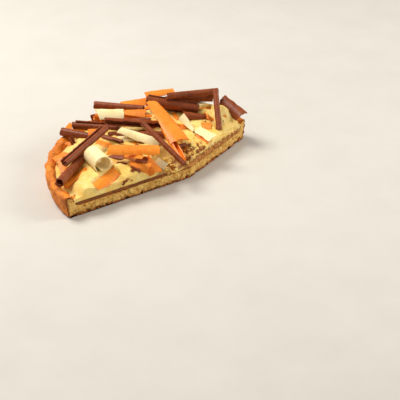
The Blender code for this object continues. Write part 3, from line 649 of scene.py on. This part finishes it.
def lie_of(node_name, slant):
    """Length, tilt and heading of a solid's sheet, from the edges that run along it."""
    bm = bmesh.new()
    bm.from_mesh(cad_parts[node_name].data)
    bmesh.ops.scale(bm, vec=(1.0 / MM,) * 3, verts=bm.verts)
    bmesh.ops.remove_doubles(bm, verts=bm.verts, dist=0.001)
    longest = max(edge.calc_length() for edge in bm.edges)
    runs = []
    for edge in bm.edges:
        bend = edge.calc_face_angle(0.0)
        if edge.calc_length() > 0.5 * longest and bend > LEAST_BEND:
            runs.append((edge.verts[1].co - edge.verts[0].co, bend))
    guide = max(runs, key=lambda run: run[0].length * run[1])[0]
    guide *= math.copysign(1.0, guide.dot(START_TO_END))
    along = Vector()
    for step, bend in runs:
        along += step * math.copysign(bend, step.dot(guide))
    along.normalize()
    reach = [vert.co.dot(along) for vert in bm.verts]
    bm.free()
    length = max(reach) - min(reach) - (abs(slant[0]) + abs(slant[1])) / 2.0
    return length, math.asin(along.z), math.atan2(along.y, along.x)


def place_in_box(bm, node_name, turn, tilt, heading):
    """Turns a sheet and moves its middle to the middle of its solid's box.

    Returns by how much the sizes of the two boxes differ.
    """
    turned = Euler((math.radians(turn), -tilt, heading), "XYZ").to_matrix()
    bmesh.ops.rotate(bm, verts=bm.verts, matrix=turned)
    lowest, highest = (Vector(corner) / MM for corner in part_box(node_name))
    low = Vector([min(vert.co[i] for vert in bm.verts) for i in range(3)])
    high = Vector([max(vert.co[i] for vert in bm.verts) for i in range(3)])
    bmesh.ops.translate(bm, verts=bm.verts, vec=(lowest + highest - low - high) / 2.0)
    return max(abs((high - low - highest + lowest)[i]) for i in range(3))


# %% Make every sheet in its place
COVERED = ("white_slab_far",)  # the cream reaches up to this one and isn't pressed by it
heap = bmesh.new()
differ = {}
for number, (name, turn, shape) in enumerate(SHAVINGS):
    length, tilt, heading = lie_of(name, shape["slant"])
    bm = shave(length, shape, 10.0 * number)
    differ[name] = round(place_in_box(bm, name, turn, tilt, heading), 1)
    kind = name.split("_")[0]
    look = [CHOCOLATES[kind]]
    piece = finish(bm, name + "_shaving", look, name, crease=SHEET_CREASE)
    if name not in COVERED:
        heap.from_mesh(piece.data)
pile = BVHTree.FromBMesh(heap)
print(len(SHAVINGS), "shavings,", len(heap.faces), "faces; most unlike their solids:")
print(sorted(differ.items(), key=lambda item: -item[1])[:6])

# %% [markdown]
# ## Caramel
#
# The caramel was spread on the baked floor, thinly at the left and thicker at the right, and it
# ends against the case. The layer is spun from a section whose height counts from 0 at its
# underside to 1 at its top, and only then given its real heights. A spoonful is missing where the
# two cuts meet, and both the caramel and the cream follow the hollow that it left.

# %% Heights of the filling
MOULD = [(FLOOR + 0.3, INNER - 7.1), (FLOOR + 1.5, INNER - 3.8), (FLOOR + 3.2, INNER - 2.2)]
MOULD += [(RIM_HEIGHT - 2.2, INNER - 0.5), (RIM_HEIGHT + 3.0, INNER + 0.8), (90.0, INNER + 0.8)]
SCOOP_SIZE = (24.0, 33.0, 19.5)
SCOOP_CENTRE = (0.0, -9.0, 30.6)
NO_SCOOP = 99.0
CARAMEL_TOP = 14.9
CARAMEL_THICKENS = 4.0
CARAMEL_SMEARED_OFF = 3.0


def wall_radius(height):
    """Inner radius of the case at a height."""
    for (low, near), (high, far) in zip(MOULD, MOULD[1:]):
        if height <= high:
            return mix(near, far, max(height - low, 0.0) / (high - low))
    return MOULD[-1][1]


def scoop(x, y):
    """Height of the hollow where a spoonful is missing, or a great height away from it."""
    across = (x - SCOOP_CENTRE[0]) / SCOOP_SIZE[0]
    back = (y - SCOOP_CENTRE[1]) / SCOOP_SIZE[1]
    inside = 1.0 - across**2 - back**2
    if inside <= 0.0:
        return NO_SCOOP
    rough = 1.3 * lumps(x, y, 0.0, 6.0, 1.0) + 0.8 * lumps(x, y, 0.0, 2.6, 2.0)
    hollow = SCOOP_CENTRE[2] - SCOOP_SIZE[2] * math.sqrt(inside)
    return hollow + rough * smoothstep(0.0, 0.2, inside)


def caramel_height(x, y):
    """The caramel's top: thin at the left, thick past the corner, smeared off at the far right."""
    thicker = CARAMEL_THICKENS * min(max((x + 10.0) / 50.0, 0.0), 1.0)
    thicker -= CARAMEL_SMEARED_OFF * smoothstep(50.0, 100.0, x)
    uneven = lumps(x, y, 0.0, 9.0, 8.0) * mix(0.35, 1.1, smoothstep(0.0, 30.0, x))
    return max(min(CARAMEL_TOP + thicker + uneven, scoop(x, y) - 0.4), FLOOR + 0.5)


def layer(radial, rows):
    """A round layer whose heights count from 0 to 1, with its wall in a few rows."""
    underside = 12
    steps = [(INNER * k / underside, 0.0) for k in range(underside + 1)]
    steps += [(INNER, k / rows) for k in range(1, rows)]
    steps += [(INNER * k / radial, 1.0) for k in range(radial, -1, -1)]
    bm = bmesh.new()
    turn_section(bm, steps, steps=640, merge=0.001)
    # most of the front half is thrown away at once, which makes the cuts much faster
    spare = [vert for vert in bm.verts if vert.co.y < -60.0]
    bmesh.ops.delete(bm, geom=spare, context="VERTS")
    bmesh.ops.holes_fill(bm, edges=[edge for edge in bm.edges if edge.is_boundary], sides=0)
    bmesh.ops.recalc_face_normals(bm, faces=bm.faces)
    return bm


# %% Spread the caramel and cut it
caramel = layer(radial=60, rows=4)
smear = caramel.verts.layers.float.new("smear")
for vert in caramel.verts:
    share = vert.co.z
    x, y = vert.co.x, vert.co.y
    height = mix(FLOOR + 0.25, caramel_height(x, y), share)
    out = wall_radius(height) / INNER
    vert.co = (x * out, y * out, height)
for normal, faces, points in cut_open(caramel, step=0.8):
    for vert in points:
        x, y, z = vert.co
        rough = smoothstep(-10.0, 35.0, x)
        pit = smoothstep(0.0, 0.5, lumps(x, y, z, 1.9, 3.0)) * mix(0.25, 1.0, rough)
        vert.co -= normal * (pit + mix(0.35, 0.1, rough))
for vert in caramel.verts:
    x, y, z = vert.co
    patch = 0.5 * lumps(x, y, z, 5.0, 7.0)
    vert[smear] = min(max(smoothstep(-12.0, 30.0, x) + patch * smoothstep(-20.0, 0.0, x), 0.0), 1.0)
bmesh.ops.recalc_face_normals(caramel, faces=caramel.faces)
print("caramel:", len(caramel.verts), "points")
finish(caramel, "caramel_layer", [caramel_finish], "caramel")

# %% [markdown]
# ## Cream
#
# The cream is one soft bed that was spread with a palette knife: smooth folds at the left, torn
# and fluffy at the right, heaped at the back. Its top is a height over each point. Every roll was
# dropped on it and sank in a little, so a ray from below finds the roll above each point, and the
# cream there is lowered to just under it.

# %% Height of the cream before anything lands on it
CREAM_EDGE = RIM_HEIGHT - 1.5
CROWN = 30.0
FURROW_HEIGHT = 1.5
BACK_HEAP, BACK_HEAP_TURN, BACK_HEAP_SPREAD = 9.5, 72.0, 56.0
SPOONFULS = [(14.5, (101.0, 50.0), 14.0), (9.0, (88.0, 65.0), 11.0)]
LIFTS = [(3.0, (-94.0, 16.0), 7.0), (3.0, (-58.0, 14.0), 7.0)]
CUT_FALL_WIDTH = 11.0


def mounds(x, y, places):
    """Round mounds, each with its height, its place and its width."""
    return sum(rise * math.exp(-(math.dist((x, y), middle) / wide) ** 2) for rise, middle, wide in places)


def cream_height(x, y):
    """A crown that falls to the rim and to the cuts, with a heap round the back and two spoonfuls."""
    radius, angle = math.hypot(x, y), math.atan2(y, x)
    share = min(radius / INNER, 1.0)
    edge = CREAM_EDGE + max(rim_rise(angle), 0.0)
    crown = edge + (CROWN - edge) * (1.0 - share**3.4)
    crown -= 5.0 * smoothstep(0.86, 0.98, share) * smoothstep(20.0, -60.0, x)
    furrows = FURROW_HEIGHT * math.sin(x / 8.5 + 1.4 * math.sin(y / 12.0)) * math.cos(y / 10.5 + 0.6)
    away = (math.degrees(angle) - BACK_HEAP_TURN) / BACK_HEAP_SPREAD
    back = BACK_HEAP * smoothstep(0.35, 0.8, share) * (1.0 - share**12) * math.exp(-(away**2))
    behind = max(behind_cut(x, y), 0.0)
    fall = mix(0.5, 7.0, smoothstep(-102.0, -84.0, x)) * math.exp(-behind / CUT_FALL_WIDTH)
    return crown + back + mounds(x, y, SPOONFULS) + furrows * (1.0 - share**6) - fall


def folds(x, y):
    """Folds and tears that the palette knife left, in millimetres."""
    torn = max(smoothstep(-45.0, 10.0, x), smoothstep(45.0, 80.0, y))
    bend = 4.0 * lumps(x, y, 0.0, 22.0, 4.0)
    fold = 1.0 - 2.6 * abs(lumps(x + bend, y - bend, 0.0, 15.0, 6.0))
    fluff = 0.9 * lumps(x, y, 0.0, 4.2, 12.0) + 0.5 * lumps(x, y, 0.0, 2.2, 14.0)
    edge = 1.0 - smoothstep(108.0, 120.0, math.hypot(x, y))
    folded = 1.9 * fold * (1.0 - 0.6 * torn) + mounds(x, y, LIFTS)
    return folded * edge + fluff * mix(0.22, 1.0, torn)


# %% Spread the cream and press it
CREAM_LEAST = 4.0
PRESS_GAP = 0.45
PRESSED_LEAST = 0.3
cream = layer(radial=112, rows=5)
stain = cream.verts.layers.float.new("stain")
pressed = 0
for vert in cream.verts:
    share = vert.co.z
    x, y = vert.co.x, vert.co.y
    low = caramel_height(x, y) + 0.02
    top = min(max(cream_height(x, y) + folds(x, y), low + CREAM_LEAST), scoop(x, y))
    hit = pile.ray_cast(Vector((x, y, FLOOR + 1.0)) * MM, UP)[0]
    if hit and hit.z / MM - PRESS_GAP < top:
        top = hit.z / MM - PRESS_GAP
        pressed += 1
    top = max(top, low + PRESSED_LEAST)
    height = mix(low, top, share)
    out = wall_radius(height) / INNER
    vert.co = (x * out, y * out, height)
print("cream pressed at", pressed, "points")

# %% Cut the cream and stain it
for normal, faces, points in cut_open(cream, step=0.95):
    for vert in points:
        x, y, z = vert.co
        torn = smoothstep(-35.0, 25.0, x)
        drag = 0.35 * lumps(x * 0.25, y * 0.25, z, 1.6, 2.0) + 0.35
        tear = 1.3 * smoothstep(-0.1, 0.6, lumps(x, y, z, 4.0, 5.0))
        tear += 0.5 * smoothstep(0.0, 0.6, lumps(x, y, z, 1.9, 9.0))
        vert.co -= normal * mix(drag, tear, torn)
for vert in cream.verts:
    x, y, z = vert.co
    hollow = math.exp(-((x - 2.0) / 24.0) ** 2 - ((y + 2.0) / 14.0) ** 2)
    thin = 1.0 - smoothstep(0.4, 3.2 + 5.0 * hollow, z - caramel_height(x, y))
    patch = smoothstep(-0.35, 0.25, lumps(x, y, z, 3.5, 20.0))
    vert[stain] = thin * patch * smoothstep(-32.0, -14.0, x)
bmesh.ops.recalc_face_normals(cream, faces=cream.faces)
print("cream:", len(cream.verts), "points")
finish(cream, "cream_bed", [cream_finish], "cream", crease=math.radians(75.0))

# %% [markdown]
# ## Shorter shavings between the rolls
#
# Broken pieces fill the gaps of the heap. Each is tried at chance places, dropped on the layers
# below by a ray from every point of its sheet, and kept at the first place where it meets no other
# piece. The front of the cream stays bare, since the long pieces in front leave it open.

# %% What lies under a point
together = bmesh.new()
for name in ("pastry_case", "caramel_layer", "cream_bed"):
    together.from_mesh(bpy.data.objects[name].data)
ground = BVHTree.FromBMesh(together)
together.free()
chance = random.Random(21)
HIGH_UP = 100.0


def under(x, y):
    """The highest point of the layers at this place, in millimetres, if no roll lies over it."""
    start = Vector((x * MM, y * MM, HIGH_UP * MM))
    hit = ground.ray_cast(start, DOWN)[0]
    covered = pile.ray_cast(start, DOWN)[0]
    return None if hit is None or covered is not None else hit / MM


# %% Try a sheet at chance places
SHORT_SINK = 1.6
SHORT_TRIES = 40


def has_room(x, y):
    """Whether short pieces lie here: behind the cuts and the bare front, away from both ends."""
    bare_front = 58.0 if x < -25.0 else 42.0
    right_end = x > 62.0 and y < 78.0
    return x >= -50.0 and y >= bare_front and not right_end and behind_cut(x, y) >= 14.0


def tuck_in(bm, tries):
    """Moves a sheet to the first place where it touches only the layers, and says if it found one."""
    middle = bm.copy()
    for _ in range(tries):
        radius, angle = 114.0 * math.sqrt(chance.random()), math.radians(chance.uniform(8.0, 172.0))
        x, y = radius * math.cos(angle), radius * math.sin(angle)
        if not has_room(x, y):
            continue
        turns = (chance.uniform(-0.5, 0.5), chance.uniform(-0.12, 0.12), chance.uniform(0.0, 3.1))
        place = Matrix.Translation((x, y, 0.0)) @ Euler(turns, "XYZ").to_matrix().to_4x4()
        points = [place @ vert.co for vert in list(middle.verts)[::5]]
        starts = [Vector((point.x, point.y, HIGH_UP)) * MM for point in points]
        hits = [ground.ray_cast(start, DOWN)[0] for start in starts]
        if None in hits:
            continue
        lift = max(hit.z / MM - point.z for hit, point in zip(hits, points)) - SHORT_SINK
        trial = middle.copy()
        moved = Matrix.Scale(MM, 4) @ Matrix.Translation((0.0, 0.0, lift)) @ place
        bmesh.ops.transform(trial, matrix=moved, verts=trial.verts)
        if BVHTree.FromBMesh(trial).overlap(pile):
            trial.free()
            continue
        bmesh.ops.scale(trial, vec=(1.0 / MM,) * 3, verts=trial.verts)
        middle.free()
        return trial
    middle.free()
    return None


# %% Tuck in the short shavings
SHORT = [
    ("milk", 30, roll(4.4, turns=1.3)),
    ("caramel", 26, slab(13, bend=60, narrow=(0.7, 1))),
    ("milk", 24, roll(4.0, turns=1.1)),
    ("caramel", 20, slab(12, bend=45, narrow=(1, 0.5))),
    ("milk", 20, roll(3.4, turns=1.2)),
    ("white", 20, slab(11, bend=60, narrow=(0.8, 1))),
    ("caramel", 17, slab(10, bend=50, narrow=(0.5, 1))),
    ("milk", 16, slab(10, bend=80, narrow=(1, 0.6))),
    ("caramel", 14, slab(9, bend=40, narrow=(0.4, 1))),
    ("milk", 15, roll(3.0, turns=0.9)),
    ("white", 13, slab(9, bend=40, narrow=(1, 0.6))),
    ("caramel", 11, slab(8, bend=60, narrow=(0.6, 1))),
    ("milk", 11, slab(7, bend=60, narrow=(0.3, 1))),
    ("caramel", 10, slab(7, bend=30)),
]
tucked = 0
for number, (kind, length, shape) in enumerate(SHORT * 3):
    bm = shave(length, shape, 600.0 + 7.0 * number)
    found = tuck_in(bm, SHORT_TRIES)
    bm.free()
    if found is None:
        continue
    tucked += 1
    look = [CHOCOLATES[kind]]
    piece = finish(found, f"{kind}_short_{tucked}", look, crease=SHEET_CREASE)
    heap.from_mesh(piece.data)
    pile = BVHTree.FromBMesh(heap)
print("short shavings tucked in:", tucked)

# %% [markdown]
# ## Crumbs, chips and specks
#
# Cutting a pie and scraping chocolate both leave small bits, and they make food look like food.
# Each is tiny, so its shape is simple: a crumb is a dented icosahedron, and a flake is a bent grid
# of six squares. They are dropped by rays, so that each lies on whatever is under it. One seeded
# generator chooses them, so the pie is the same each time.

# %% A crumb and a flake
FLAKE_SHEET = 0.55


def any_turn():
    return Euler([chance.uniform(0.0, 2.0 * math.pi) for _ in range(3)], "XYZ").to_matrix()


def add_crumb(bm, place, size):
    made = bmesh.ops.create_icosphere(bm, subdivisions=1, radius=size)["verts"]
    for vert in made:
        vert.co *= chance.uniform(0.65, 1.25)
    bmesh.ops.rotate(bm, verts=made, matrix=any_turn())
    bmesh.ops.translate(bm, verts=made, vec=place)


def add_flake(bm, place, size, steep=0.35):
    made = bmesh.ops.create_grid(bm, x_segments=3, y_segments=2, size=0.5, calc_uvs=True)["verts"]
    long = size * chance.uniform(0.9, 1.5)
    wide = size * chance.uniform(0.45, 0.9)
    bend = size * chance.uniform(0.1, 0.5)
    for vert in made:
        x, y = vert.co.x, vert.co.y
        uneven = chance.uniform(-0.12, 0.12)
        narrower = 1.0 - 0.5 * x
        vert.co = ((x + uneven) * long, (y + uneven) * wide * narrower, -bend * (2.0 * x) ** 2)
    faces = list({face for vert in made for face in vert.link_faces})
    parts = faces + list({edge for face in faces for edge in face.edges}) + made
    thick = bmesh.ops.solidify(bm, geom=parts, thickness=FLAKE_SHEET)["geom"]
    made = list(set(made) | {part for part in thick if isinstance(part, bmesh.types.BMVert)})
    tilts = [chance.uniform(-steep, steep) for _ in range(2)]
    turned = Euler((*tilts, chance.uniform(0.0, 2.0 * math.pi)), "XYZ")
    bmesh.ops.rotate(bm, verts=made, matrix=turned.to_matrix())
    bmesh.ops.translate(bm, verts=made, vec=place)


def new_bits():
    bm = bmesh.new()
    bm.loops.layers.uv.new("UVMap")
    return bm


# %% [markdown]
# Flakes of the three chocolates lie all over the cream and between the rolls. They are kept off
# the cuts' edges, and off the case, where nothing would hold them.

# %% Flakes over the cream
FLAKE_SIZES = (1.2, 1.6, 2.4, 4.5)
FLAKE_LIFT = Vector((0.0, 0.0, 0.35))


def holds_flake(x, y, spot):
    """Whether a flake may lie here: on open cream, not at a cut, in the hollow or at the left end."""
    left_end = x < -50.0 and y < 50.0
    return spot is not None and behind_cut(x, y) >= 2.5 and spot.z >= 17.0 and not left_end


for kind, count, material in (("milk", 26, milk), ("caramel", 18, blond), ("white", 14, white)):
    bm = new_bits()
    laid = 0
    while laid < count:
        radius, angle = 116.0 * math.sqrt(chance.random()), math.pi * chance.random()
        x, y = radius * math.cos(angle), radius * math.sin(angle)
        spot = under(x, y)
        if not holds_flake(x, y, spot):
            continue
        add_flake(bm, spot + FLAKE_LIFT, chance.choice(FLAKE_SIZES))
        laid += 1
    bmesh.ops.recalc_face_normals(bm, faces=bm.faces)
    print(kind, "flakes:", laid)
    finish(bm, kind + "_flakes", [material])

# %% [markdown]
# Under the leaf at the front lies a nest of dark crumbs, and the hollow where the cuts meet is
# full of broken pastry, caramel and cream. Each cluster has a name, a finish, a slot, a count, the
# smallest and largest size, and its centres: place along X and Y, and the spread each way.

# %% Clusters of crumbs
CRUMBS_BELOW = 33.0
CLUSTERS = [
    (
        "dark_crumbs", milk, "milk_chocolate", 64, (0.8, 2.0),
        [(-38, 1, 5, 2), (-34, 0, 4, 1), (-36, 3, 5, 2), (12, 6, 12, 3)],
    ),
    (
        "hollow_crumbs", crumb, "pastry", 80, (0.8, 2.4),
        [(-6, 1, 10, 3), (8, 4, 9, 4), (26, 5, 7, 2), (-18, 1, 5, 2)],
    ),
    (
        "hollow_caramel", caramel_finish, "caramel", 150, (0.9, 3.0),
        [(-8, 2, 9, 3), (10, 5, 8, 4), (30, 7, 6, 2)],
    ),
    (
        "hollow_cream", cream_finish, "cream", 60, (1.2, 3.6),
        [(-10, 4, 8, 4), (6, 8, 9, 5), (30, 9, 8, 3)],
    ),
    (
        "browned_crumbs", skin, "pastry", 60, (0.4, 1.2),
        [(112, 40, 5, 4), (-4, 2, 10, 3), (-119, 5, 2, 6), (20, 6, 9, 3)],
    ),
]
for name, material, slot, count, sizes, centres in CLUSTERS:
    bm = new_bits()
    shade = bm.verts.layers.float.new("smear")
    laid = 0
    while laid < count:
        x, y, wide, deep = centres[chance.randrange(len(centres))]
        x, y = x + chance.gauss(0.0, wide), y + chance.gauss(0.0, deep)
        if behind_cut(x, y) < 0.3:
            continue
        spot = under(x, y)
        if spot is None or spot.z > CRUMBS_BELOW:
            continue
        size = chance.uniform(*sizes)
        add_crumb(bm, spot + Vector((0.0, 0.0, 0.2 * size)), size)
        laid += 1
    for vert in bm.verts:
        vert[shade] = 0.5 + 0.5 * lumps(*vert.co, 4.0)
    finish(bm, name, [material])
print("clusters:", [row[0] for row in CLUSTERS])

# %% [markdown]
# The knife dragged bits down the cut faces too. These sit half in the face, on the caramel and the
# crumb, and along the bottom edge, where a short crust always breaks a little.

# %% Bits on the cut faces
CUT_BITS = 120
SIDE_CUT_BITS = 0.6  # share of them on the side cut
SIDE_CUT_REACH = (3.0, 104.0)
MAIN_CUT_REACH = (0.0, 140.0)
HALF_SUNK = 0.1
bm = new_bits()
base = new_bits()
for _ in range(CUT_BITS):
    side = chance.random() < SIDE_CUT_BITS
    point, normal, along = CUTS[1] if side else CUTS[0]
    travel = chance.uniform(*SIDE_CUT_REACH) if side else -chance.uniform(*MAIN_CUT_REACH)
    place = point + along * travel - normal * HALF_SUNK
    size = chance.uniform(0.35, 1.0)
    if chance.random() < 0.5:
        rise = max(chance.uniform(0.5, 2.2), 1.25 * size)
        add_crumb(base, place + Vector((0.0, 0.0, rise)), size)
    else:
        add_crumb(bm, place + Vector((0.0, 0.0, chance.uniform(2.0, 11.0))), size)
finish(bm, "cut_crumbs", [crumb])
finish(base, "base_crumbs", [skin])

# %% Chocolate shards that stand in the main cut
SHARDS = [(-61.5, 20.5, 5.0), (-58.5, 22.0, 4.0), (-119.0, 23.5, 1.6)]
SHARDS += [(-31.0, 20.0, 3.0), (-52.0, 19.5, 2.2)]
shards = new_bits()
for x, height, size in SHARDS:
    add_flake(shards, Vector((x, CUT_Y + 0.1, height)), size, steep=1.4)
bmesh.ops.recalc_face_normals(shards, faces=shards.faces)
finish(shards, "cut_shards", [milk])

# %% [markdown]
# ## Floor, light and camera
#
# A plain pale floor carries the pie's shadow. A broad lamp above the back gives soft light, and a
# second one from the front right opens the cut faces. The camera looks down at a quarter
# from the left, with a long lens, so that the near edge isn't stretched.

# %% Floor
FLOOR_HALF = 6.0
FLOOR_DROP = 0.0004
floor_mesh = bmesh.new()
bmesh.ops.create_grid(floor_mesh, x_segments=1, y_segments=1, size=FLOOR_HALF)
bmesh.ops.translate(floor_mesh, verts=floor_mesh.verts, vec=(0.0, 0.0, -FLOOR_DROP))
floor_data = bpy.data.meshes.new("floor")
floor_mesh.to_mesh(floor_data)
floor_mesh.free()
floor = bpy.data.objects.new("floor", floor_data)
bpy.context.scene.collection.objects.link(floor)
floor_finish = new_finish("floor", (212, 209, 203), (206, 203, 196), 3.0, 20.0, 0.7, 0.1)[0]
floor_data.materials.append(floor_finish)


# %% Lights
LAMP_AIM = Vector((0.0, 0.03, 0.02))
LAMP_WIDTH = 0.8
WARM = (1.0, 0.95, 0.87)


def lamp(name, place, watts):
    light = bpy.data.lights.new(name, "AREA")
    light.shape = "DISK"
    light.size = LAMP_WIDTH
    light.energy = watts
    light.color = WARM
    item = bpy.data.objects.new(name, light)
    bpy.context.scene.collection.objects.link(item)
    item.location = place
    item.rotation_euler = (LAMP_AIM - Vector(place)).to_track_quat("-Z", "Y").to_euler()


lamp("key", (-0.45, 0.75, 1.25), 24.0)
lamp("fill", (1.2, -0.7, 0.8), 13.0)
world = bpy.data.worlds.new("studio")
bpy.context.scene.world = world
world.use_nodes = True
studio = world.node_tree.nodes["Background"]
studio.inputs["Color"].default_value = (1.0, 0.985, 0.96, 1.0)
studio.inputs["Strength"].default_value = 0.38
bpy.context.scene.view_settings.view_transform = "Standard"

# %% Camera
CAMERA_PLACE = Vector((-0.65202, -0.91862, 0.61349))
CAMERA_AIM = Vector((-0.00054, -0.04587, 0.0))
CAMERA_ROLL = math.radians(0.7165)
camera_data = bpy.data.cameras.new("camera")
camera_data.lens = 112.5
camera_data.sensor_width = 36.0
camera = bpy.data.objects.new("camera", camera_data)
bpy.context.scene.collection.objects.link(camera)
camera.location = CAMERA_PLACE
level = (CAMERA_AIM - CAMERA_PLACE).to_track_quat("-Z", "Y")
camera.rotation_mode = "QUATERNION"
camera.rotation_quaternion = level @ Quaternion((0.0, 0.0, 1.0), CAMERA_ROLL)
bpy.context.scene.camera = camera
print("camera at", tuple(round(value, 3) for value in camera.location))
